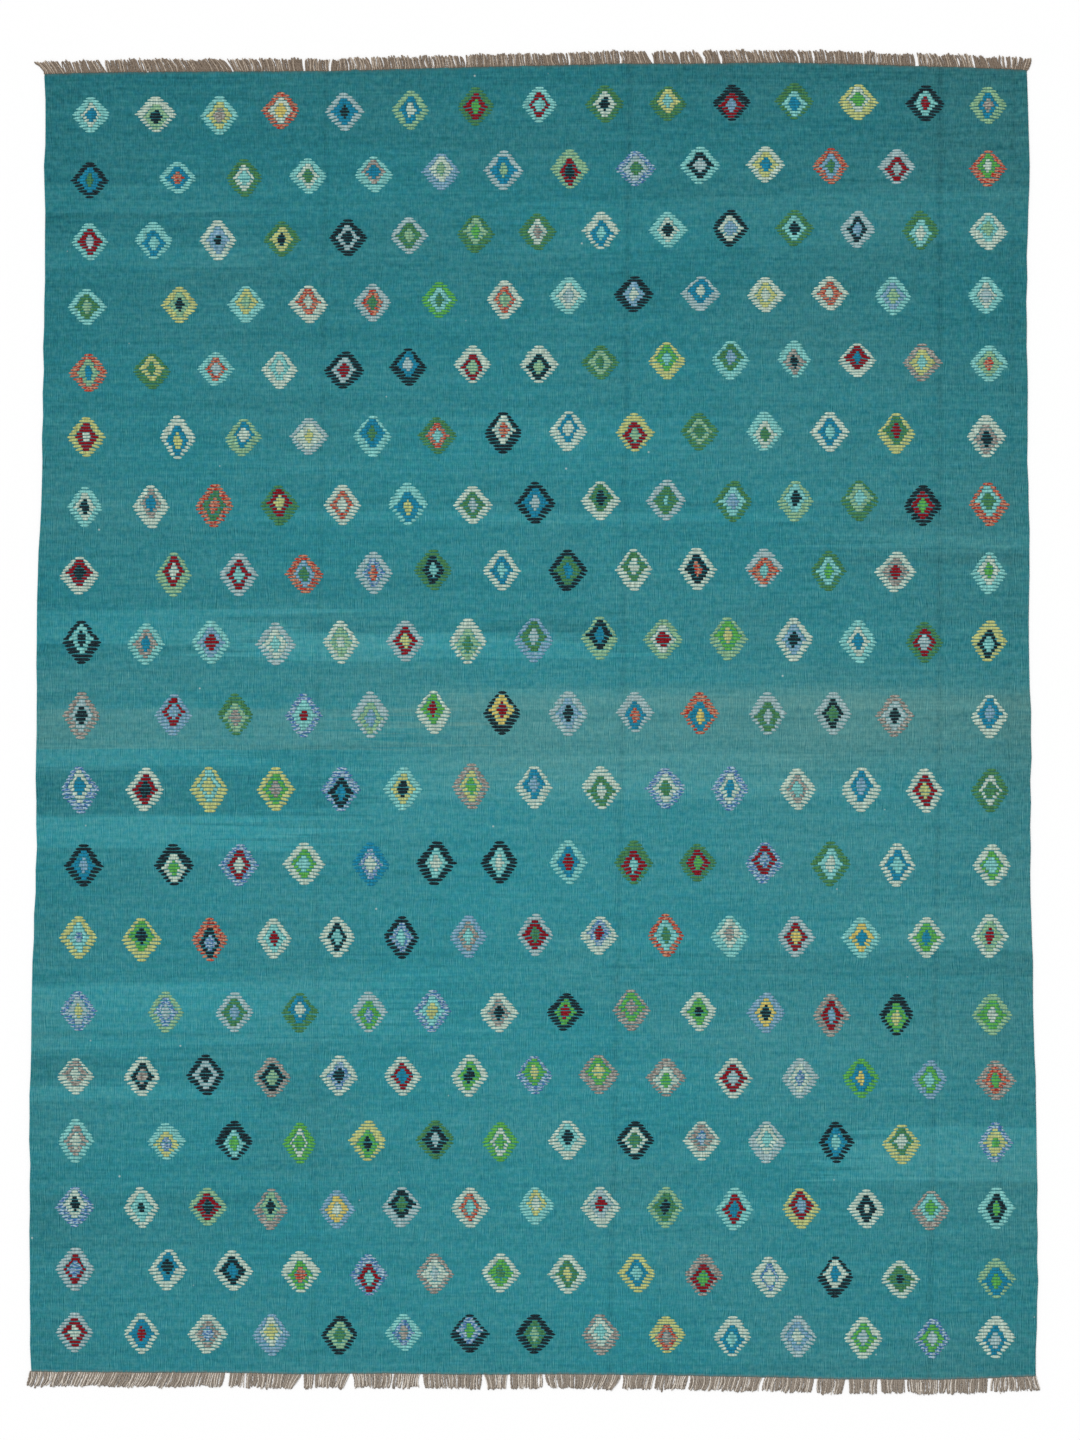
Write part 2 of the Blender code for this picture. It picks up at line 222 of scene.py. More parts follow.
class Tone:
    """A number that varies over a surface: one output socket of a material's nodes.

    Each operator adds the Math node that works it out.
    """

    def __init__(self, finish, socket):
        self.finish, self.socket = finish, socket

    def math(self, operation, *others, clamp=False):
        sockets = dict(enumerate([self, *others]))
        settings = {"operation": operation, "use_clamp": clamp}
        return self.finish.node("ShaderNodeMath", settings, sockets)

    def __add__(self, other):
        return self.math("ADD", other)

    def __sub__(self, other):
        return self.math("SUBTRACT", other)

    def __rsub__(self, other):
        return self.finish.node("ShaderNodeMath", {"operation": "SUBTRACT"}, {0: other, 1: self})

    def __mul__(self, other):
        return self.math("MULTIPLY", other)

    __radd__ = __add__
    __rmul__ = __mul__

    def size(self):
        """The number without its sign."""
        return self.math("ABSOLUTE")

    def least(self, other):
        return self.math("MINIMUM", other)

    def share(self):
        """The number held between 0 and 1."""
        return self.math("ADD", 0.0, clamp=True)

    def over(self, start, full):
        """0 up to start, 1 from full, and a straight rise between them."""
        return (self * (1 / (full - start)) - start / (full - start)).share()

    def bell(self):
        """e to the power of minus the number squared."""
        power = -1.0 * self * self
        return self.finish.node("ShaderNodeMath", {"operation": "POWER"}, {0: math.e, 1: power})


class Finish:
    """A wool material and the nodes it is built from."""

    def __init__(self, name, roughness=0.95):
        self.material = bpy.data.materials.new(name)
        self.material.use_nodes = True
        self.tree = self.material.node_tree
        self.shader = self.tree.nodes["Principled BSDF"]
        self.shader.inputs["Roughness"].default_value = roughness
        self.shader.inputs["Specular IOR Level"].default_value = 0.08
        self.place = self.tree.nodes.new("ShaderNodeTexCoord").outputs["Object"]

    def node(self, kind, settings, sockets, output=0):
        """Any node: its settings first, then the values or links of its sockets."""
        made = self.tree.nodes.new(kind)
        for key, value in settings.items():
            if key == "stops":
                ramp = made.color_ramp
                for place, _ in value[2:]:
                    ramp.elements.new(place)
                for element, (place, tone) in zip(ramp.elements, value):
                    element.position, element.color = place, (tone, tone, tone, 1.0)
            else:
                setattr(made, key, value)
        for key, value in sockets.items():
            value = getattr(value, "socket", value)
            if isinstance(value, bpy.types.NodeSocket):
                self.tree.links.new(value, made.inputs[key])
            else:
                made.inputs[key].default_value = value
        return Tone(self, made.outputs[output])

    def mark(self, name):
        """A number that the mesh holds for each point."""
        return self.node("ShaderNodeAttribute", {"attribute_name": name}, {}, output="Fac")

    def axes(self):
        """X, Y and Z of the place on the piece, in metres."""
        split = self.node("ShaderNodeSeparateXYZ", {}, {0: self.place}).socket.node
        return [Tone(self, output) for output in split.outputs]

    def curve(self, place, stops):
        """A number that follows stops of (place, value).

        A stop holds at most 1, so the values go in as shares of the largest allowed.
        """
        held = [(at, value / CURVE_MOST) for at, value in stops]
        return self.node("ShaderNodeValToRGB", {"stops": held}, {0: place}) * CURVE_MOST

    def grain(self, row):
        """Soft random numbers around 0, as strong and as fine as a grain row says."""
        spread = self.node("ShaderNodeVectorMath", {"operation": "MULTIPLY"},
                           {0: self.place, 1: row.lumps}, output="Vector")
        sockets = {"Vector": spread, "Scale": 1.0, "Detail": row.detail}
        return row.strength * (self.node("ShaderNodeTexNoise", {}, sockets) - 0.5)

    def blend(self, share, first, second):
        """A colour between two colours."""
        sockets = {"Factor": share, 6: first, 7: second}
        return self.node("ShaderNodeMix", {"data_type": "RGBA"}, sockets, output=2)

    def dim(self, colour, factor):
        """A colour made lighter or darker by a number."""
        return self.node("ShaderNodeVectorMath", {"operation": "SCALE"},
                         {0: colour, "Scale": factor}, output="Vector")

    def wear(self, colour, height=None, depth=0.0003):
        """Puts the colour, and the height of the fibres, into the shader."""
        self.tree.links.new(colour.socket, self.shader.inputs["Base Color"])
        if height is not None:
            sockets = {"Height": height, "Distance": depth}
            bump = self.node("ShaderNodeBump", {}, sockets, output="Normal")
            self.tree.links.new(bump.socket, self.shader.inputs["Normal"])
        return self.material


LIGHTING = 1.08               # how bright the studio shows a white surface, against its own white


def dye(red, green, blue):
    """A base colour from the 8-bit sRGB colour that the lit wool shows."""
    encoded = np.array((red, green, blue)) / 255
    linear = np.where(encoded <= 0.04045, encoded / 12.92, ((encoded + 0.055) / 1.055) ** 2.4)
    return (*(linear / LIGHTING), 1.0)


# How light the dye came out along the rug, from the lower end to the upper one, with painted shade
# that darkens it towards the upper end.
DYE_AND_SHADE_ALONG = [
    (0.00, 0.90), (0.05, 0.98), (0.14, 0.97), (0.22, 1.02), (0.28, 0.99), (0.33, 1.02),
    (0.42, 1.04), (0.50, 1.02), (0.58, 0.92), (0.67, 0.93), (0.73, 0.91), (0.77, 0.87),
    (0.83, 0.81), (0.89, 0.80), (0.97, 0.74), (1.00, 0.69),
]
# How light it looks across the rug, from the left selvedge to the right one: dye, and painted shade
# that darkens it towards both selvedges.
DYE_AND_SHADE_ACROSS = [
    (0.00, 0.91), (0.08, 0.99), (0.38, 1.04), (0.50, 1.05), (0.65, 1.02), (0.85, 0.98),
    (0.93, 0.94), (1.00, 0.89),
]

# Bands of weft from other dye lots, from the upper end down. A band climbs by its slope towards
# the right. Its left and right tips fray, because each of its wefts stops at another warp. Light
# is how much lighter it is, and grey how far its colour goes towards the greyer teal.
BandRow = namedtuple("BandRow", "middle half slope left right fray light grey")
FAR = 1.6                     # past either selvedge
BANDS = [
    BandRow(1.339, 0.036, 0.00, -FAR, -0.73, 0.10, 0.07, 0.03),
    BandRow(1.357, 0.018, 0.01, -0.75, -0.03, 0.20, 0.05, 0.00),
    BandRow(1.262, 0.068, 0.03, -0.05, FAR, 0.15, 0.09, 0.02),
    BandRow(1.295, 0.009, 0.00, -FAR, -0.73, 0.10, -0.10, 0.00),
    BandRow(1.187, 0.027, 0.00, -FAR, -0.64, 0.10, 0.10, 0.03),
    BandRow(0.720, 0.062, 0.00, -0.31, 0.41, 0.25, 0.07, 0.02),
    BandRow(0.645, 0.014, 0.00, -0.73, -0.45, 0.12, 0.09, 0.03),
    BandRow(0.560, 0.009, 0.00, -0.84, 1.14, 0.35, -0.08, 0.00),
    BandRow(0.524, 0.014, 0.00, -0.81, 0.75, 0.30, 0.12, 0.03),
    BandRow(0.463, 0.019, 0.00, 0.75, FAR, 0.20, 0.11, 0.03),
    BandRow(0.421, 0.018, 0.00, 0.80, FAR, 0.15, -0.09, 0.02),
    BandRow(0.249, 0.046, 0.00, -FAR, -0.62, 0.25, 0.17, 0.02),
    BandRow(0.239, 0.028, 0.00, -0.14, 0.19, 0.15, -0.13, 0.00),
    BandRow(0.190, 0.036, 0.00, -0.80, 0.19, 0.20, 0.19, 0.03),
    BandRow(0.203, 0.024, 0.00, -0.72, -0.14, 0.15, 0.09, 0.02),
    BandRow(0.110, 0.034, 0.00, -FAR, FAR, 0.30, 0.00, 0.05),
    BandRow(0.054, 0.028, 0.00, -0.26, FAR, 0.30, 0.08, 0.12),
    BandRow(-0.020, 0.056, 0.00, -FAR, -0.30, 0.30, 0.04, 0.29),
    BandRow(-0.070, 0.004, 0.00, -FAR, -0.95, 0.10, -0.14, 0.00),
    BandRow(-0.067, 0.006, 0.00, -0.74, -0.31, 0.20, -0.12, 0.00),
    BandRow(-0.067, 0.140, 0.00, 1.14, FAR, 0.05, -0.06, 0.03),
    BandRow(-0.093, 0.028, 0.00, -FAR, -0.75, 0.30, 0.13, 0.02),
    BandRow(-0.137, 0.058, 0.00, -0.37, 0.75, 0.30, 0.10, 0.10),
    BandRow(-0.185, 0.057, 0.00, -FAR, -0.50, 0.30, -0.15, -0.04),
    BandRow(-0.288, 0.043, 0.00, -FAR, -0.60, 0.25, 0.19, 0.02),
    BandRow(-0.478, 0.145, 0.00, -FAR, -0.25, 0.50, -0.05, 0.00),
    BandRow(-0.532, 0.058, 0.00, 0.92, FAR, 0.12, 0.08, 0.06),
    BandRow(-0.622, 0.032, 0.00, 0.41, FAR, 0.35, -0.08, 0.00),
    BandRow(-0.684, 0.038, 0.02, -FAR, -0.73, 0.20, 0.08, 0.00),
    BandRow(-0.725, 0.084, 0.03, -FAR, -0.31, 0.35, 0.13, 0.04),
    BandRow(-0.804, 0.010, 0.00, -FAR, -0.78, 0.15, -0.12, 0.00),
    BandRow(-0.887, 0.033, 0.00, -FAR, -0.90, 0.20, -0.11, 0.00),
    BandRow(-0.953, 0.019, 0.00, -FAR, -0.78, 0.15, 0.15, 0.02),
    BandRow(-1.043, 0.140, 0.00, -0.73, -0.45, 0.15, -0.06, 0.02),
    BandRow(-1.113, 0.070, 0.00, 0.74, FAR, 0.25, 0.20, 0.06),
    BandRow(-1.246, 0.020, 0.00, 0.36, 0.75, 0.15, 0.09, 0.02),
    BandRow(-1.280, 0.070, 0.00, -FAR, -0.62, 0.25, -0.06, 0.02),
]
BAND_EDGE = 0.005             # softness of a band's upper and lower edge
TIP_EDGE = 0.05               # softness of one weft's tip

# Over the right two thirds the greyest lot fades in and out: where it starts to on each side,
# and where it is full.
SOFT_LEFT, SOFT_TOP, SOFT_BOTTOM = (-0.45, -0.15), (0.100, 0.050), (-0.170, -0.020)
SOFT_GREY, SOFT_LIGHT = 0.35, 0.01

GREEN_TEAL = dye(47, 135, 133)  # the two shades that the ground's wool is blended from
BLUE_TEAL = dye(39, 127, 149)
GREY_TEAL = dye(92, 138, 134)
DULL = 0.10                   # how grey the ground is everywhere
DULL_RIGHT, DULL_FROM_TO = 0.12, (0.2, 1.3)  # greyer towards the right selvedge
DULL_MIDDLE, DULL_AT, DULL_REACH = 0.055, -0.15, 0.65  # and near the middle of its length
GREY_CLOUDS = GrainRow(0.5, (2.0, 3.2, 1.0), 2.0)
FOLD_SHADE, FOLD_SHADE_WIDTH = 0.11, 0.7  # painted shade along the old folds' troughs, and its share of their width

TIP_FRAY = GrainRow(6.5, (0.15, 55.0, 1.0), 3.0)  # where each weft at a band's tip stops
EDGE_FRAY = GrainRow(0.010, (1.5, 120.0, 1.0))  # how bands waver, in metres
EDGE_SWAY = GrainRow(0.045, (0.8, 1.6, 1.0))
STREAKS = GrainRow(0.27, (0.9, 24.0, 1.0), 4.0)  # wefts lighter or darker than their neighbours
LONG_LINES = GrainRow(0.27, (7.0, 190.0, 1.0))
SHORT_LINES = GrainRow(0.24, (14.0, 90.0, 1.0))
CLOUDS = GrainRow(0.08, (4.0, 13.0, 1.0), 3.0)
FIBRES = [                    # the wool's own speckle, from the finest to the coarsest
    GrainRow(0.30, (290.0, 45.0, 1.0), 0.0), GrainRow(0.35, (330.0, 150.0, 1.0)),
    GrainRow(0.42, (64.0, 84.0, 1.0)),
]
HEATHER = GrainRow(0.60, (60.0, 60.0, 1.0), 4.0)  # of the greyer wool
HUE = GrainRow(1.0, (52.0, 66.0, 8.0), 4.0)  # of the greener and the bluer wool
STREAK_GREY, GRAIN_GREY = 0.35, 0.8  # how much greyer a lighter streak or speckle is

# The ribs' shadow lines: their pitch, their mean strength and its spread.
RibRow = namedtuple("RibRow", "pitch mean spread")
RIB_LINES = [RibRow(0.00545, 0.07, 0.41), RibRow(0.00820, 0.03, 0.37)]
RIB_DRIFT = GrainRow(15.0, (17.0, 13.0, 1.0))  # in radians
RIB_SHARE = GrainRow(1.0, (45.0, 38.0, 1.0))
RIBS_LEFT, RIBS_FADE = 0.45, (1.25, 0.5)  # how much of them is left at the upper end

LINT = dye(205, 214, 208)
LINT_PER_METRE, LINT_SHOWS = 9.0, 0.55
LINT_RIM, LINT_CORE = 0.032, 0.012
LOWER_HEM_TONE = dye(116, 126, 122)  # the darker colour that the last wefts at each end turn to
UPPER_HEM_TONE = dye(74, 92, 88)
HEM_MEAN, HEM_PATCHES = 0.70, GrainRow(1.8, (150.0, 20.0, 1.0))
PICKS = GrainRow(1.0, (150.0, 560.0, 1.0))  # relief of the single wefts, 560 to the metre
LOOSE_FIBRES = GrainRow(0.6, (420.0, 420.0, 1.0))
WEAVE_DEPTH = 0.0006


def band_share(x, y, fray, band):
    """1 inside a band of weft and 0 outside it, with tips that lie elsewhere on each weft."""
    ragged = fray * (band.fray / TIP_EDGE)
    left = (x - band.left) * (1 / TIP_EDGE) + ragged
    right = (band.right - x) * (1 / TIP_EDGE) + ragged
    edge = (band.half - (y - band.middle - x * band.slope).size()) * (1 / BAND_EDGE)
    return left.least(right).least(edge).share()


def teal_wool():
    """The ground's finish: dye lots with painted shade, fold lines as painted shade, ribs as painted
    shade and light, picks, flecks of lint, and fibre relief.
    """
    finish = Finish("teal_wool")
    x, y, _ = finish.axes()
    fray = finish.grain(TIP_FRAY)
    ragged = y + finish.grain(EDGE_FRAY) + finish.grain(EDGE_SWAY)
    # Dye lightness along and across the rug, with painted shade towards the upper end and both
    # selvedges.
    light = finish.curve(y * (1 / MEAN_LENGTH) + 0.5, DYE_AND_SHADE_ALONG)
    light = light * finish.curve(x * (1 / MEAN_WIDTH) + 0.5, DYE_AND_SHADE_ACROSS)
    grey = finish.grain(GREY_CLOUDS) + DULL + x.over(*DULL_FROM_TO) * DULL_RIGHT
    grey = grey + DULL_MIDDLE * ((y - DULL_AT) * (1 / DULL_REACH)).bell()
    for band in BANDS:
        mask = band_share(x, ragged, fray, band)
        light = light + mask * band.light
        grey = grey + mask * band.grey if band.grey else grey
    soft = x.over(*SOFT_LEFT) * ragged.over(*SOFT_TOP) * ragged.over(*SOFT_BOTTOM)
    grey, light = grey + soft * SOFT_GREY, light + soft * SOFT_LIGHT
    # Painted shade along each fold's trough, darker where the fold is deeper.
    deepest = max(fold.depth for fold in FOLDS)
    for fold in FOLDS:
        slope_up = (fold.upper - fold.middle) / (MEAN_LENGTH / 2)
        slope_down = (fold.middle - fold.lower) / (MEAN_LENGTH / 2)
        line = fold.middle + y.math("MAXIMUM", 0.0) * slope_up + y.least(0.0) * slope_down
        offset = (x - line) * (1 / (FOLD_SHADE_WIDTH * fold.half_width))
        light = light - offset.bell() * (FOLD_SHADE * fold.depth / deepest)
    streaks = finish.grain(STREAKS)
    lines = finish.grain(LONG_LINES) + finish.grain(SHORT_LINES)
    # Painted shade and light of the ribs: shadow lines along the rug, greyer where lighter.
    drift, ribs = finish.grain(RIB_DRIFT), 0.0
    for row in RIB_LINES:
        strength = row.mean + row.spread * finish.grain(RIB_SHARE)
        ribs = (x * (2 * math.pi / row.pitch) + drift).math("SINE") * strength + ribs
    ribs = ribs * (RIBS_LEFT + (1 - RIBS_LEFT) * y.over(*RIBS_FADE))
    fibre = sum(finish.grain(row) for row in FIBRES)
    light = light + streaks + lines + finish.grain(CLOUDS) + ribs + fibre
    grey = grey + STREAK_GREY * streaks + GRAIN_GREY * (lines + ribs + fibre)
    grey = grey + finish.grain(HEATHER)
    teal = finish.blend((0.5 + finish.grain(HUE)).share(), GREEN_TEAL, BLUE_TEAL)
    colour = finish.dim(finish.blend(grey.share(), teal, GREY_TEAL), light)
    hem_share = finish.mark("hem") * (HEM_MEAN + finish.grain(HEM_PATCHES))
    hem_tone = finish.blend(y.over(-0.1, 0.1), LOWER_HEM_TONE, UPPER_HEM_TONE)
    colour = finish.blend(hem_share.share(), colour, hem_tone)
    sockets = {"Vector": finish.place, "Scale": LINT_PER_METRE}
    fleck = finish.node("ShaderNodeTexVoronoi", {"feature": "F1"}, sockets)
    colour = finish.blend(fleck.over(LINT_RIM, LINT_CORE) * LINT_SHOWS, colour, LINT)
    return finish.wear(colour, finish.grain(PICKS) + finish.grain(LOOSE_FIBRES), WEAVE_DEPTH)


cloth_points, cloth_faces, cloth_map, cloth_hem = cloth_mesh()
cloth = make_piece("woven_ground", cloth_points, cloth_faces, teal_wool(), cloth_map,
                   hem=cloth_hem)
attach(cloth, "root")
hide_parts("kilim_cloth")


# ==== The brocaded diamonds ===================================================================
# Stepped diamonds of coloured wool floats laid in over the teal weft, one float to a line, each
# passing over a few warps and turning back where its colour ends. Every diamond has an outer
# ring, an inner ring and a heart, each in a yarn that stands out from the one around it.

# Rows of diamonds from the upper end down: their share of the rug's length at the left and at
# the right selvedge, and how tall a diamond is there.
MotifRow = namedtuple("MotifRow", "left right height")
MOTIF_ROWS = [
    MotifRow(0.9668, 0.9717, 0.094), MotifRow(0.9174, 0.9235, 0.091), MotifRow(0.8696, 0.8760, 0.092),
    MotifRow(0.8194, 0.8263, 0.093), MotifRow(0.7701, 0.7751, 0.095), MotifRow(0.7191, 0.7200, 0.101),
    MotifRow(0.6659, 0.6672, 0.105), MotifRow(0.6134, 0.6144, 0.105), MotifRow(0.5610, 0.5616, 0.107),
    MotifRow(0.5054, 0.5050, 0.110), MotifRow(0.4483, 0.4484, 0.110), MotifRow(0.3904, 0.3917, 0.108),
    MotifRow(0.3333, 0.3366, 0.106), MotifRow(0.2778, 0.2770, 0.103), MotifRow(0.2284, 0.2280, 0.101),
    MotifRow(0.1775, 0.1798, 0.101), MotifRow(0.1265, 0.1293, 0.100), MotifRow(0.0787, 0.0765, 0.102),
    MotifRow(0.0301, 0.0314, 0.102),
]
ROW_MARGIN = (0.045, 0.959)   # shares of the width where a row's first and last diamond lie
FULL_ROW = 15                 # diamonds in a row that is spaced evenly from end to end
INNER_ROW = 12                # diamonds between the two end ones in the rows that are set over
INNER_MARGIN = (0.137, 0.8655)
PLACE_JITTER = 0.0032         # how far a diamond lies from its place, and less so along the rug
ALONG_SHARE = 0.6
HEIGHT_MEAN, HEIGHT_SPREAD = 1.02, 0.04  # a diamond's height against its row's
WIDTH_SPREAD = 0.035
LINE_JITTER = 0.0003          # how unevenly its lines are spaced
LINE_SWAY = 0.0007            # how far a line steps aside from the last one
RING_SPREADS = (0.0, 0.08, 0.16)  # how much ring, inner ring and heart differ in width
SHIFT_ODDS = (0.2, 0.6, 0.2)  # that the inside lies a line lower, in the middle, or higher

# A diamond's floats from its tip to its middle, and half the width of its ring, inner ring and
# heart, in millimetres. Below the middle they come again in turn.
FloatRow = namedtuple("FloatRow", "outer inner heart")
MM = 0.001
HALF_FLOATS = [
    FloatRow(12, 0, 0), FloatRow(20, 0, 0), FloatRow(27, 8, 0), FloatRow(33, 13, 0),
    FloatRow(39, 18, 5), FloatRow(45, 24, 10), FloatRow(49, 31, 14),
]
FLOATS = HALF_FLOATS + HALF_FLOATS[-2::-1]
STEP_JITTER = 0.0012          # uneven ends of the floats
SHORTEST = 1.2                # the shortest float, in stitches
TIP, TURNED_TIP = 0.34, 0.85  # thickness of a float's end at the diamond's edge, and inside it
TIP_STITCHES = 1.55           # how soon it is full
DROOP, DROOP_SPREAD = 0.30, 0.16  # how far, in lines, a float sinks towards the diamond's side
BEND = 0.00012                # how far it wanders from warp to warp
BEAD, BEAD_WIDTH = 0.16, 0.06  # how much higher and wider it is between two warps
FLOAT_FILL = 0.98             # share of a line that its float covers
CREST = 0.60                  # share of a float's width that is its round top
FLOAT_RISE, RISE_SPREAD = 0.0009, 0.15  # how far a float stands above the cloth
FLOAT_SINK = 0.0003           # how deep its flat underside lies in the ribs
STITCH = 0.0037               # one warp's width along a float
NECK = 0.0003                 # space where two colours meet in a line
FULL_CONTRAST = 0.5           # two yarns' colours that lie further apart than this are as welcome

GROOVE_SHADE = dye(35, 90, 99)      # painted shade: the teal weft seen deep between two floats, darkened
GROOVE_SHADE_FACTOR = 0.72                   # or else the yarn's own colour made so much darker, as painted shade

GROOVE_SPAN = (-0.42, 0.95)   # the crest's marks between which the painted groove shade turns to yarn
CLOSE_PACKED = 0.40           # how far the grooves close towards the upper end, beaten denser
CLOSE_FROM_TO = (0.40, 1.30)  # where along Y they start to, and have

# The weaver's yarns: colour, second colour that it is mottled with, how much of it, how often it
# is picked for a ring, an inner ring and a heart, and how much more so in either half of the rug.
YarnRow = namedtuple("YarnRow", "colour second mottle ring inner heart upper lower")
YARNS = {
    "ivory": YarnRow((188, 204, 189), (162, 184, 170), 0.8, 25, 19, 14, 1.0, 1.1),
    "pale_grey": YarnRow((160, 182, 182), (134, 164, 168), 0.6, 13, 8, 6, 1.0, 0.8),
    "charcoal": YarnRow((24, 34, 40), (42, 58, 62), 0.4, 13, 6.5, 12, 1.0, 1.1),
    "madder_red": YarnRow((130, 20, 30), (108, 20, 28), 0.5, 0.4, 9, 7.5, 1.0, 0.9),
    "rust_mottled": YarnRow((160, 44, 36), (184, 136, 108), 1.0, 3.8, 2.8, 3.5, 1.3, 0.6),
    "straw": YarnRow((184, 190, 121), (166, 175, 116), 0.8, 6.5, 5, 4.5, 1.1, 0.8),
    "gold": YarnRow((202, 188, 104), (184, 166, 92), 0.6, 0.5, 1.8, 2.6, 0.4, 1.6),
    "leaf_green": YarnRow((70, 124, 78), (60, 106, 72), 0.5, 8.5, 6.5, 5.5, 1.2, 0.8),
    "grass_green": YarnRow((88, 164, 74), (74, 144, 72), 0.5, 3, 4.5, 4.5, 0.4, 2.1),
    "sage": YarnRow((144, 182, 142), (112, 156, 124), 0.8, 4.5, 5.5, 4.5, 1.0, 1.0),
    "aqua": YarnRow((132, 196, 190), (104, 174, 172), 0.7, 12, 14, 13, 1.1, 0.8),
    "periwinkle": YarnRow((104, 146, 174), (138, 170, 184), 0.8, 4, 5, 4, 1.1, 0.8),
    "cobalt_mottled": YarnRow((64, 106, 160), (156, 182, 192), 1.0, 2.6, 2.2, 2.6, 0.3, 2.1),
    "taupe_mottled": YarnRow((126, 116, 110), (162, 162, 152), 1.0, 5, 3, 3, 0.4, 1.9),
    "deep_turquoise": YarnRow((28, 124, 156), (26, 112, 142), 0.4, 0.3, 6, 5, 1.0, 1.1),
}
LOWER_HALF, UPPER_HALF = 0.30, 0.65  # shares of the length where those halves are full
MOTTLE_PATCHES = GrainRow(1.0, (105.0, 260.0, 1.0), 2.0)
MOTTLE_EDGE = 0.05            # softness of the mottle's patches
YARN_RIBS = GrainRow(0.9, (290.0, 30.0, 1.0), 0.0)
YARN_SPECKLE = GrainRow(0.6, (290.0, 160.0, 1.0))
YARN_FIBRES = GrainRow(1.0, (300.0, 900.0, 1.0), 2.0)
YARN_DEPTH = 0.0004


def diamond_places(rng):
    """Centre and height of every diamond, and its share of the rug's length, row by row."""
    across, along, height = [], [], []
    for number, row in enumerate(MOTIF_ROWS):
        places = np.linspace(*ROW_MARGIN, FULL_ROW)
        if number % 2:
            inner = np.linspace(*INNER_MARGIN, INNER_ROW)
            places = np.concatenate([ROW_MARGIN[:1], inner, ROW_MARGIN[1:]])
        across.append(places)
        along.append(row.left + (row.right - row.left) * places)
        height.append(np.full(len(places), row.height))
    across, along, height = (np.concatenate(part) for part in (across, along, height))
    x, y = cloth_place(across, along)
    x = x + rng.normal(0, PLACE_JITTER, len(x))
    y = y + rng.normal(0, PLACE_JITTER * ALONG_SHARE, len(y))
    return x, y, height, along


def pick_yarns(rng, along):
    """For each diamond, the numbers of its ring's, inner ring's and heart's yarn.

    Each is drawn by the yarns' weights for that place and that half of the rug, times how far
    its colour lies from that of the one around it, so that two neighbours stand apart.
    """
    table = np.array([(row.ring, row.inner, row.heart) for row in YARNS.values()], float)
    upper = np.array([row.upper for row in YARNS.values()])
    lower = np.array([row.lower for row in YARNS.values()])
    half = np.clip((along - LOWER_HALF) / (UPPER_HALF - LOWER_HALF), 0, 1)[:, None]
    frequency = upper * half + lower * (1 - half)
    colours = np.array([row.colour for row in YARNS.values()]) / 255
    apart = np.linalg.norm(colours[:, None] - colours, axis=2).clip(0, FULL_CONTRAST)
    before, picked = None, []
    for place in range(3):
        weight = table[:, place] * frequency
        weight = weight if before is None else weight * apart[before]
        reach = np.cumsum(weight, axis=1) / weight.sum(axis=1, keepdims=True)
        before = (rng.random(len(along))[:, None] > reach).sum(axis=1)
        picked.append(before)
    return picked


def float_segments(rng):
    """Each float's ends, its place along the rug, line pitch, side, two tips and yarn, as arrays.

    Each line of a diamond holds up to five: ring, inner ring, heart, inner ring, ring.
    The bounds between them step out from the middle by FLOATS, made a little uneven.
    """
    x, y, height, along = diamond_places(rng)
    yarns = pick_yarns(rng, along)
    steps = MM * np.array(FLOATS)
    lines = len(steps)
    count = len(x)
    shape = (count, lines)
    height = height * rng.normal(HEIGHT_MEAN, HEIGHT_SPREAD, count)
    pitch = np.repeat((height / lines)[:, None], lines, axis=1)
    line_y = y[:, None] + ((lines - 1) / 2 - np.arange(lines)) * pitch
    line_y = line_y + rng.normal(0, LINE_JITTER, shape)
    sway = np.cumsum(rng.normal(0, LINE_SWAY, shape), axis=1)
    line_x = x[:, None] + sway - sway.mean(axis=1, keepdims=True)
    size = rng.normal(1.0, WIDTH_SPREAD, (count, 1))
    shift = rng.choice((-1, 0, 1), count, p=SHIFT_ODDS)[:, None]
    bounds = []
    for column, spread in enumerate(RING_SPREADS):
        line = (np.arange(lines) + (shift if column else 0)).clip(0, lines - 1)
        reach = steps[:, column][line] * size * rng.normal(1.0, spread, (count, 1))
        left = reach + rng.normal(0, STEP_JITTER, shape)
        right = reach + rng.normal(0, STEP_JITTER, shape)
        shown = np.broadcast_to(reach > STITCH, shape)
        bounds.append((np.where(shown, left, 0.0), np.where(shown, right, 0.0), shown))
    (ring_l, ring_r, _), (inner_l, inner_r, inner_shown), (heart_l, heart_r, heart_shown) = bounds
    ring_end = np.where(inner_shown, TURNED_TIP, TIP)
    spans = [
        (-ring_l, np.where(inner_shown, -inner_l, ring_r), TIP, ring_end, yarns[0]),
        (np.where(inner_shown, inner_r, ring_r), ring_r, TURNED_TIP, TIP, yarns[0]),
        (-inner_l, np.where(heart_shown, -heart_l, inner_r), TURNED_TIP, TURNED_TIP, yarns[1]),
        (np.where(heart_shown, heart_r, inner_r), inner_r, TURNED_TIP, TURNED_TIP, yarns[1]),
        (-heart_l, heart_r, TURNED_TIP, TURNED_TIP, yarns[2]),
    ]
    parts = []
    for left, right, first_tip, last_tip, colour in spans:
        keep = right - left > SHORTEST * STITCH
        columns = (line_x + left + NECK / 2, line_x + right - NECK / 2, line_y, pitch,
                   (left + right) / 2, first_tip, last_tip, colour[:, None])
        parts.append([np.broadcast_to(column, shape)[keep] for column in columns])
    return [np.concatenate(column) for column in zip(*parts)]


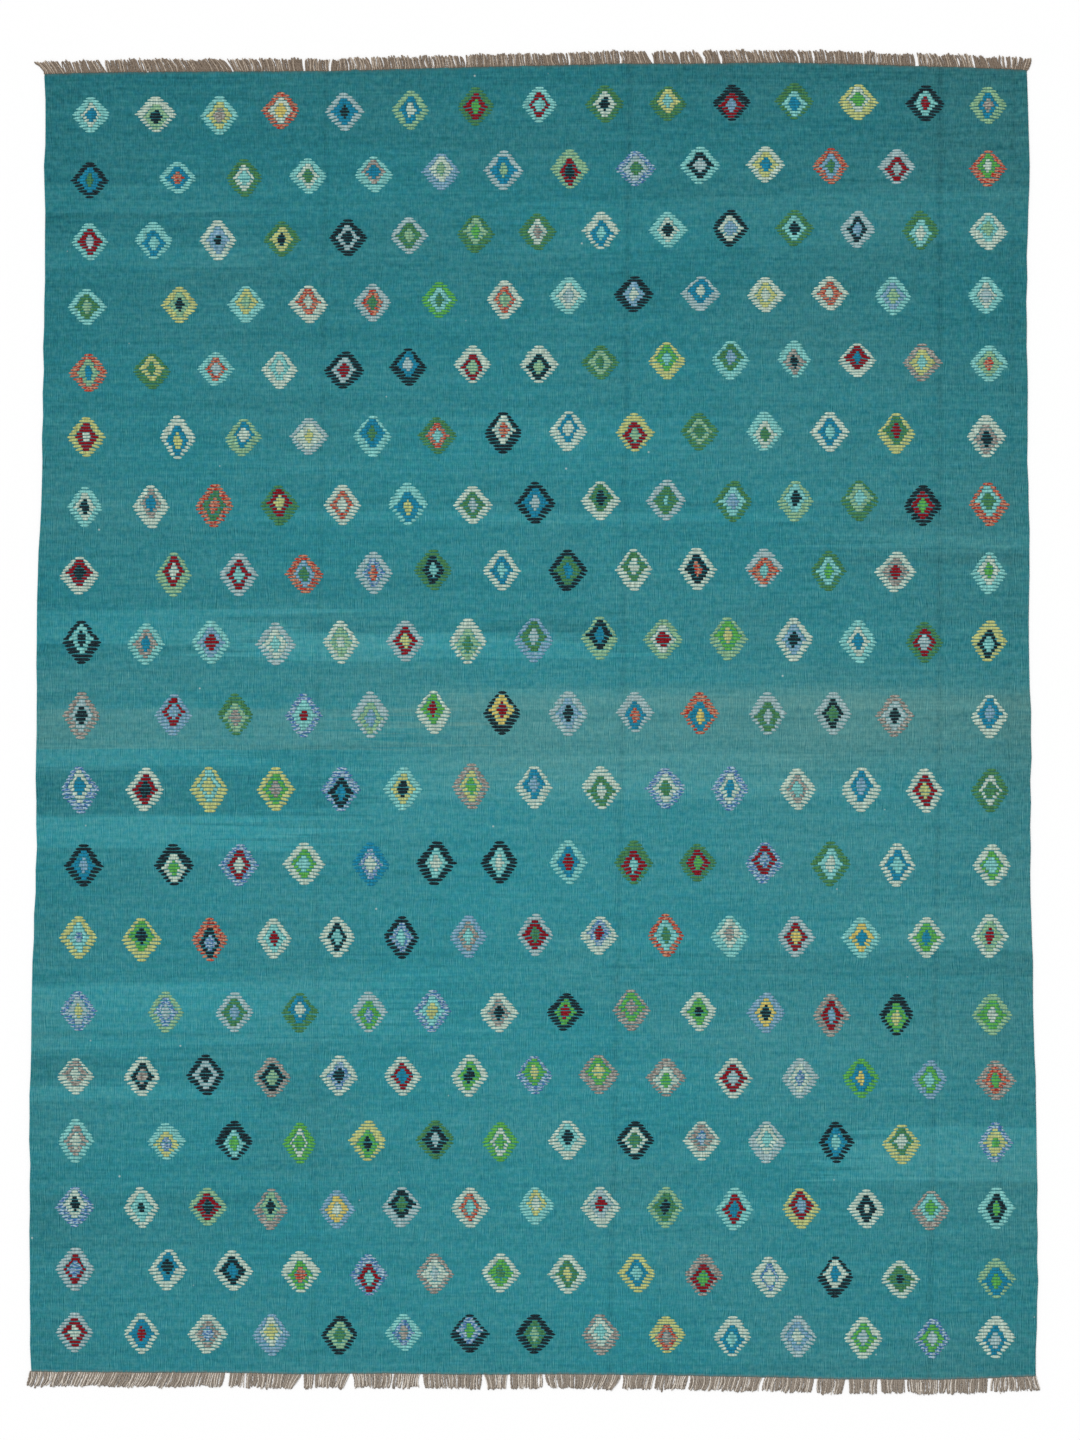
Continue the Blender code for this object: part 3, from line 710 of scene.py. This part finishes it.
def float_mesh(start, end, at, tall, aside, first_tip, last_tip, rng):
    """Points and faces of floats as low rounded bars with narrow ends, and each point's crest.

    A float is a row of rings of four points, one for each warp it passes. Its section is a
    flattened arch. Its height and width rise and fall from warp to warp, its ends are drawn
    in by their tips' thickness, and it droops away from the diamond's middle. The crest is 1
    on the top and 0 where the float meets its neighbour.
    """
    rings = np.maximum(3, np.ceil((end - start) / STITCH).astype(int) + 1)
    points, crests, quads, caps, total = [], [], [], [], 0
    for count in np.unique(rings):
        chosen = rings == count
        number = int(chosen.sum())
        t = np.linspace(0, 1, count)
        x = start[chosen, None] + (end - start)[chosen, None] * t
        turned = np.clip(aside[chosen, None] / (2 * STITCH), -1, 1)
        droop = tall[chosen, None] * rng.normal(DROOP, DROOP_SPREAD, (number, 1)) * turned
        bend = np.cumsum(rng.normal(0, BEND, (number, count)), axis=1)
        y = at[chosen, None] - droop * (t - 0.5) + bend
        first, last = first_tip[chosen, None], last_tip[chosen, None]
        in_from_first = np.arange(count) / TIP_STITCHES
        in_from_last = in_from_first[::-1]
        ends = np.minimum(first + (1 - first) * in_from_first, last + (1 - last) * in_from_last)
        ends = ends.clip(0, 1)
        between = (np.arange(count) + rng.integers(0, 2, (number, 1))) % 2
        weave = 1 + BEAD * np.where(between, 1, -1)
        half = tall[chosen, None] * FLOAT_FILL / 2 * ends * (1 - BEAD_WIDTH + BEAD_WIDTH * weave)
        jitter = rng.uniform(1 - RISE_SPREAD, 1 + RISE_SPREAD, (number, 1))
        rise = FLOAT_RISE * ends * weave * jitter
        base = face_height(x, y)
        ring = np.stack([
            np.stack([x, y - half, base - FLOAT_SINK], axis=-1),
            np.stack([x, y - half * CREST, base + rise], axis=-1),
            np.stack([x, y + half * CREST, base + rise], axis=-1),
            np.stack([x, y + half, base - FLOAT_SINK], axis=-1),
        ], axis=2)
        index = total + np.arange(ring[..., 0].size).reshape(ring.shape[:3])
        for side in range(4):
            ahead = (side + 1) % 4
            quads.append(np.stack([index[:, :-1, side], index[:, 1:, side],
                                   index[:, 1:, ahead], index[:, :-1, ahead]], axis=-1).reshape(-1, 4))
        caps += [index[:, 0, :], index[:, -1, ::-1]]
        points.append(ring.reshape(-1, 3))
        crests.append(np.tile((0.0, 1.0, 1.0, 0.0), ring[..., 0].size // 4))
        total += len(points[-1])
    return np.concatenate(points), [np.concatenate(quads + caps)], np.concatenate(crests)


def brocade_wool(name, row):
    """A yarn's finish: two colours mottled along the floats, ribs under them, and painted shade in the
    grooves between them.
    """
    finish = Finish("wool_" + name)
    share = finish.grain(MOTTLE_PATCHES).over(-MOTTLE_EDGE, MOTTLE_EDGE) * row.mottle
    light = 1.0 + finish.grain(YARN_RIBS) + finish.grain(YARN_SPECKLE)
    colour = finish.dim(finish.blend(share, dye(*row.colour), dye(*row.second)), light)
    packed = CLOSE_PACKED * finish.axes()[1].over(*CLOSE_FROM_TO)
    crest = finish.mark("crest") + packed
    # Painted shade: each float's sides darken towards its neighbour, by the crest mark.
    groove = np.minimum(GROOVE_SHADE, GROOVE_SHADE_FACTOR * np.array(dye(*row.colour)))
    colour = finish.blend(crest.over(*GROOVE_SPAN), (*groove[:3], 1.0), colour)
    return finish.wear(colour, finish.grain(YARN_FIBRES), YARN_DEPTH)


brocade_rng = np.random.default_rng(2024)
segments = float_segments(brocade_rng)
for number, (yarn_name, yarn_row) in enumerate(YARNS.items()):
    mine = segments[-1] == number
    points, face_groups, crests = float_mesh(*(part[mine] for part in segments[:-1]), brocade_rng)
    wool = brocade_wool(yarn_name, yarn_row)
    piece = make_piece("brocade_" + yarn_name, points, face_groups, wool, crest=crests)
    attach(piece, "root")


# ==== The warp fringes ========================================================================
# The ends of the undyed grey and brown warps, cut a finger's width past the last weft. They lie
# on the floor in tufts that lean aside together, each end a loosely twisted two-ply yarn. Every
# second one is a paler, thinner yarn that has slid up onto its two darker neighbours. The low
# ends are darker partly as painted shade under the ones on top, and the ends near a group's
# middle are paler as painted light.

# Tufts from left to right: where a tuft starts, the bare gap before it, and how far its first
# and its last warp end lean to the right over their length.
TuftRow = namedtuple("TuftRow", "start gap first_lean last_lean")
UPPER_TUFTS = [
    TuftRow(-1.300, 0.000, -0.026, -0.020), TuftRow(-1.200, 0.000, -0.012, -0.010),
    TuftRow(-1.150, 0.001, -0.010, -0.020), TuftRow(-1.092, 0.002, -0.008, -0.009),
    TuftRow(-1.053, 0.002, -0.007, -0.009), TuftRow(-0.987, 0.003, -0.012, -0.018),
    TuftRow(-0.880, 0.002, -0.018, -0.026), TuftRow(-0.768, 0.005, -0.016, -0.008),
    TuftRow(-0.690, 0.003, -0.010, -0.006), TuftRow(-0.586, 0.004, -0.003, -0.002),
    TuftRow(-0.519, 0.005, 0.004, -0.004), TuftRow(-0.473, 0.003, -0.003, -0.012),
    TuftRow(-0.414, 0.002, -0.006, -0.008), TuftRow(-0.368, 0.002, -0.007, -0.007),
    TuftRow(-0.257, 0.003, -0.006, -0.008), TuftRow(-0.175, 0.002, -0.002, -0.004),
    TuftRow(-0.033, 0.002, -0.004, -0.008), TuftRow(0.092, 0.002, -0.006, -0.006),
    TuftRow(0.224, 0.005, -0.004, -0.016), TuftRow(0.308, 0.004, -0.001, -0.015),
    TuftRow(0.380, 0.004, -0.003, -0.014), TuftRow(0.440, 0.003, -0.012, -0.008),
    TuftRow(0.483, 0.003, -0.010, -0.010), TuftRow(0.632, 0.002, -0.010, -0.008),
    TuftRow(0.683, 0.003, -0.008, -0.006), TuftRow(0.724, 0.002, -0.006, -0.004),
    TuftRow(0.848, 0.002, 0.000, -0.003), TuftRow(0.987, 0.009, -0.003, -0.012),
    TuftRow(1.045, 0.002, -0.010, -0.010), TuftRow(1.133, 0.003, -0.010, -0.008),
    TuftRow(1.200, 0.002, -0.004, 0.010),
]
LOWER_TUFTS = [
    TuftRow(-1.310, 0.000, -0.010, -0.012), TuftRow(-1.230, 0.002, -0.012, -0.016),
    TuftRow(-1.164, 0.006, -0.016, -0.018), TuftRow(-0.975, 0.000, -0.018, -0.007),
    TuftRow(-0.778, 0.014, -0.006, -0.008), TuftRow(-0.735, 0.004, -0.002, -0.008),
    TuftRow(-0.640, 0.002, -0.010, -0.024), TuftRow(-0.589, 0.006, -0.001, -0.003),
    TuftRow(-0.560, 0.004, -0.002, -0.012), TuftRow(-0.465, 0.006, 0.006, -0.006),
    TuftRow(-0.357, 0.007, -0.006, -0.006), TuftRow(-0.283, 0.008, 0.004, -0.003),
    TuftRow(-0.129, 0.005, 0.008, -0.006), TuftRow(-0.059, 0.008, 0.000, 0.000),
    TuftRow(0.031, 0.009, 0.006, -0.004), TuftRow(0.130, 0.000, -0.008, -0.018),
    TuftRow(0.229, 0.006, -0.002, -0.008), TuftRow(0.316, 0.006, -0.006, -0.010),
    TuftRow(0.403, 0.005, -0.006, -0.014), TuftRow(0.594, 0.006, -0.006, -0.008),
    TuftRow(0.727, 0.009, 0.000, -0.010), TuftRow(0.807, 0.009, 0.000, -0.001),
    TuftRow(0.889, 0.008, 0.004, -0.002), TuftRow(0.959, 0.008, 0.004, -0.002),
    TuftRow(1.041, 0.005, -0.002, -0.002), TuftRow(1.175, 0.012, -0.004, 0.004),
    TuftRow(1.240, 0.002, 0.004, 0.014),
]
WARP_PITCH = 0.0029           # between neighbouring warp ends
LOW_RADIUS, HIGH_RADIUS = 0.00245, 0.00150  # of the ends on the floor, and of those on top of them
PERCH = 0.60                  # how high, in heights of a low end, the high ones lie
FLATTEN = 0.50                # height of a strand against its width
PLY_DEPTH = 0.28              # how deep the groove between the two plies is
TURN = 0.0125                 # length of one full turn of the plies
UPPER_LENGTH = 0.0310
LOWER_LENGTH = 0.0355
LENGTH_JITTER = 0.0017
RAGGED = 0.0022               # slow unevenness of the cut
LEAN_JITTER = 0.0016
LEAN_POWER = 1.35             # how late along its length an end leans
GROUP = 0.0125                # width of a group of ends that cling together at the tips
LOW_CLING, HIGH_CLING = 0.16, 0.55  # how far the ends of a group are drawn together
LOOSEST = 0.4                 # share of that for the loosest end
TUCK = 0.0015                 # how deep the warp ends start inside the cloth
PINCH, PINCH_GONE = 0.45, 7.0  # how thin the last weft squeezes them, and how soon they are full
FRAYED_FROM, FRAYED = 0.92, 4.0  # share of the length where they thin out, and how fast
THINNEST, THICKEST = 0.82, 1.15  # of the ends, against their layer's radius
BOW, CURL = 0.0026, 0.0015    # how far neighbouring ends bend aside together, and each alone
ROOT_HEIGHT = 0.55            # where they leave the cloth, as a share of its wall
SETTLE = 7.0                  # how soon they have come down from there
LOT_BY_PLACE = 0.38           # how much of an end's lot comes from its place in the group: painted light in its middle, painted shade at its edges
WARP_RINGS = 11
WARP_SIDES = 6
WARP_MIX = GrainRow(1.0, (260.0, 190.0, 1.0), 2.0)
WARP_MIX_EDGE = 0.12          # softness between a strand's two shades
WARP_SPECKLE = GrainRow(0.9, (420.0, 260.0, 1.0))
WARP_FIBRES = GrainRow(1.0, (900.0, 500.0, 900.0))
WARP_DEPTH = 0.0003


def warp_ends(tufts, end_line, length, rng):
    """Root, tip and length of every warp end along one end of the rug, which lie on top, and lots.

    A tuft is filled evenly, its lean runs from its first end to its last, and within it
    groups of a few ends cling together at the tips. The lot, between 0 and 1, is larger near
    the middle of a group, where the paler ends go as painted light, and smaller at its edges,
    as painted shade.
    """
    first, last = end_line[0, 0], end_line[-1, 0]
    starts = [max(tuft.start, first) for tuft in tufts] + [last]
    gaps = [tuft.gap for tuft in tufts[1:]] + [0.0]
    root, lean = [], []
    for tuft, start, after, gap in zip(tufts, starts, starts[1:], gaps):
        room = after - gap - start
        count = max(2, int(round(room / WARP_PITCH)))
        root.append(start + room * (np.arange(count) + 0.5) / count)
        lean.append(np.linspace(tuft.first_lean, tuft.last_lean, count))
    root, lean = np.concatenate(root), np.concatenate(lean)
    tip = root + lean + rng.normal(0, LEAN_JITTER, len(root))
    on_top = np.arange(len(root)) % 2 == 1
    place = root / GROUP + 0.4 * waver(root, 1.7)
    group = np.unique(np.floor(place), return_inverse=True)[1]
    near_middle = 1 - abs(2 * (place % 1) - 1)
    lot = LOT_BY_PLACE * near_middle + (1 - LOT_BY_PLACE) * rng.random(len(root))
    middle = np.bincount(group, tip) / np.bincount(group)
    cling = np.where(on_top, HIGH_CLING, LOW_CLING) * rng.uniform(LOOSEST, 1.0, len(tip))
    tip = tip + cling * (middle[group] - tip)
    lengths = length + rng.normal(0, LENGTH_JITTER, len(root)) + RAGGED * waver(root, 0.9)
    return root, tip, lengths, on_top, lot


def fringe_mesh(root, tip, lengths, on_top, end_line, direction, rng):
    """Points and faces of warp ends as twisted two-ply strands lying on the floor.

    A strand's middle line bends from its root to its tip and comes from half the cloth's
    thickness down to where the strand rests on the floor, or on the low ends if it is one of
    those on top. Around it a ring's radius swells twice per turn, and the swell turns with
    the distance along the strand, which gives the two plies. The ring is pressed flatter by
    FLATTEN.
    """
    number = len(root)
    t = np.linspace(0, 1, WARP_RINGS)[None, :, None]
    angle = np.linspace(0, 2 * math.pi, WARP_SIDES, endpoint=False)[None, None, :]
    edge = np.interp(root, end_line[:, 0], end_line[:, 1]) - direction * TUCK
    run = (lengths + TUCK)[:, None, None]
    aside = (tip - root)[:, None, None]
    curl = (rng.normal(0, CURL, number) + BOW * waver(root, 2.7))[:, None, None]
    line_x = root[:, None, None] + aside * t ** LEAN_POWER + curl * np.sin(math.pi * t)
    line_y = edge[:, None, None] + direction * run * t
    lean_slope = aside * LEAN_POWER * t ** (LEAN_POWER - 1)
    slope = (lean_slope + curl * math.pi * np.cos(math.pi * t)) / run
    norm = np.sqrt(1 + slope ** 2)
    radius = np.where(on_top, HIGH_RADIUS, LOW_RADIUS) * rng.uniform(THINNEST, THICKEST, number)
    radius = radius[:, None, None]
    taper = np.minimum(1.0, PINCH + PINCH_GONE * t)
    taper = taper * (1.0 - FRAYED * np.maximum(t - FRAYED_FROM, 0.0))
    phase = rng.uniform(0, 2 * math.pi, number)[:, None, None]
    lobes = 1 + PLY_DEPTH * np.cos(2 * (angle - 2 * math.pi * run * t * norm / TURN) + phase)
    around = radius * taper * lobes
    perch = np.where(on_top, 2 * PERCH * LOW_RADIUS * FLATTEN, 0.0)[:, None, None]
    on_floor = radius * FLATTEN * (1 + PLY_DEPTH) * taper
    rest = on_floor + perch
    leaving = WALL_HEIGHT * ROOT_HEIGHT
    line_z = np.maximum(on_floor, rest + (leaving - rest) * np.exp(-(t * SETTLE) ** 2))
    x = line_x + around * np.cos(angle) / norm
    y = line_y - direction * around * np.cos(angle) * slope / norm
    z = line_z + FLATTEN * around * np.sin(angle)
    points = np.stack([x, y, z], axis=-1)
    index = np.arange(points[..., 0].size).reshape(points.shape[:3])
    ahead = np.roll(index, -1, axis=2)
    walls = np.stack([index[:, :-1], ahead[:, :-1], ahead[:, 1:], index[:, 1:]], axis=-1)
    walls = walls.reshape(-1, 4)
    caps = np.concatenate([index[:, 0, ::-1], index[:, -1, :]])
    if direction > 0:
        walls, caps = walls[:, ::-1], caps[:, ::-1]
    return points.reshape(-1, 3), [walls, caps]


def warp_wool(name, colour, second):
    """Undyed wool: two natural shades twisted together, with a fine speckle and fibre relief."""
    finish = Finish("wool_" + name)
    share = finish.grain(WARP_MIX).over(-WARP_MIX_EDGE, WARP_MIX_EDGE)
    light = 1.0 + finish.grain(WARP_SPECKLE)
    colour = finish.dim(finish.blend(share, dye(*colour), dye(*second)), light)
    return finish.wear(colour, finish.grain(WARP_FIBRES), WARP_DEPTH)


# Shades of the warps at each end, two to a shade, and the lots that each takes: natural wool,
# with the low ends' shade darker partly as painted shade under the ones on top. The low
# ends have the lot -1, and those on top one between 0 and 1.
LOW_LOT = -1.0
ShadeRow = namedtuple("ShadeRow", "name first_lot last_lot colour second")
UPPER_SHADES = [
    ShadeRow("umber", LOW_LOT, 0.0, (114, 100, 86), (138, 124, 110)),
    ShadeRow("taupe", 0.0, 0.55, (146, 132, 118), (126, 112, 99)),
    ShadeRow("oat", 0.55, 1.0, (196, 182, 165), (164, 149, 134)),
]
LOWER_SHADES = [
    ShadeRow("umber", LOW_LOT, 0.0, (128, 117, 105), (153, 142, 130)),
    ShadeRow("taupe", 0.0, 0.50, (165, 155, 143), (143, 133, 121)),
    ShadeRow("oat", 0.50, 1.0, (224, 216, 204), (190, 180, 168)),
]

for end, tufts, end_line, direction, length, shades, seed in (
        ("upper", UPPER_TUFTS, upper_line, 1, UPPER_LENGTH, UPPER_SHADES, 31),
        ("lower", LOWER_TUFTS, lower_line, -1, LOWER_LENGTH, LOWER_SHADES, 32)):
    fringe_rng = np.random.default_rng(seed)
    *strands, lot = warp_ends(tufts, end_line, length, fringe_rng)
    on_top = strands[-1]
    lot = np.where(on_top, lot, LOW_LOT)
    for shade in shades:
        mine = (lot >= shade.first_lot) & (lot < shade.last_lot)
        points, face_groups = fringe_mesh(
            *(part[mine] for part in strands), end_line, direction, fringe_rng)
        name = f"warp_{end}_{shade.name}"
        wool = warp_wool(name, shade.colour, shade.second)
        piece = make_piece(name, points, face_groups, wool)
        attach(piece, "root")
        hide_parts("warp_fringe_" + end)


# ==== The studio ==============================================================================
# A white floor, an even white surround, one broad soft lamp from above the upper left corner,
# and the camera straight above the rug.

FLOOR_SIZE = 60.0
FLOOR_DROP = 0.0001           # the paper lies so far under the rug
PAPER_WHITE = 0.93
FRAME_WIDTH, FRAME_HEIGHT = 1080, 1440
METRES_PER_PIXEL = 0.002564
RUG_MIDDLE_PIXEL = (533.6, 721.6)
CAMERA_HEIGHT = 9.0
SENSOR = 36.0
SURROUND = 0.62
LAMP_STRENGTH = 1.9
LAMP_SPREAD = 40.0            # degrees across, for soft shadows
LAMP_TILT = (-32.0, -28.0)    # degrees from straight down, towards the upper left


def floor_finish():
    """Plain white paper."""
    finish = Finish("white_paper")
    finish.shader.inputs["Base Color"].default_value = (*[PAPER_WHITE] * 3, 1.0)
    return finish.material


corners = FLOOR_SIZE / 2 * np.array([(-1, -1, 0), (1, -1, 0), (1, 1, 0), (-1, 1, 0)])
corners = corners - (0, 0, FLOOR_DROP)
floor = make_piece("paper_floor", corners, [np.array([[0, 1, 2, 3]])], floor_finish())

world = bpy.data.worlds.new("studio")
bpy.context.scene.world = world
world.use_nodes = True
world.node_tree.nodes["Background"].inputs["Color"].default_value = (1.0, 1.0, 1.0, 1.0)
world.node_tree.nodes["Background"].inputs["Strength"].default_value = SURROUND

lamp = bpy.data.objects.new("soft_lamp", bpy.data.lights.new("soft_lamp", "SUN"))
lamp.data.energy = LAMP_STRENGTH
lamp.data.angle = math.radians(LAMP_SPREAD)
lamp.rotation_euler = (math.radians(LAMP_TILT[0]), math.radians(LAMP_TILT[1]), 0.0)
bpy.context.scene.collection.objects.link(lamp)

camera = bpy.data.objects.new("camera", bpy.data.cameras.new("camera"))
camera.data.sensor_width = SENSOR
camera.data.lens = SENSOR * CAMERA_HEIGHT / (FRAME_HEIGHT * METRES_PER_PIXEL)
camera.location = (
    (FRAME_WIDTH / 2 - RUG_MIDDLE_PIXEL[0]) * METRES_PER_PIXEL,
    (RUG_MIDDLE_PIXEL[1] - FRAME_HEIGHT / 2) * METRES_PER_PIXEL,
    CAMERA_HEIGHT)
bpy.context.scene.collection.objects.link(camera)
bpy.context.scene.camera = camera
bpy.context.scene.view_settings.view_transform = "Standard"
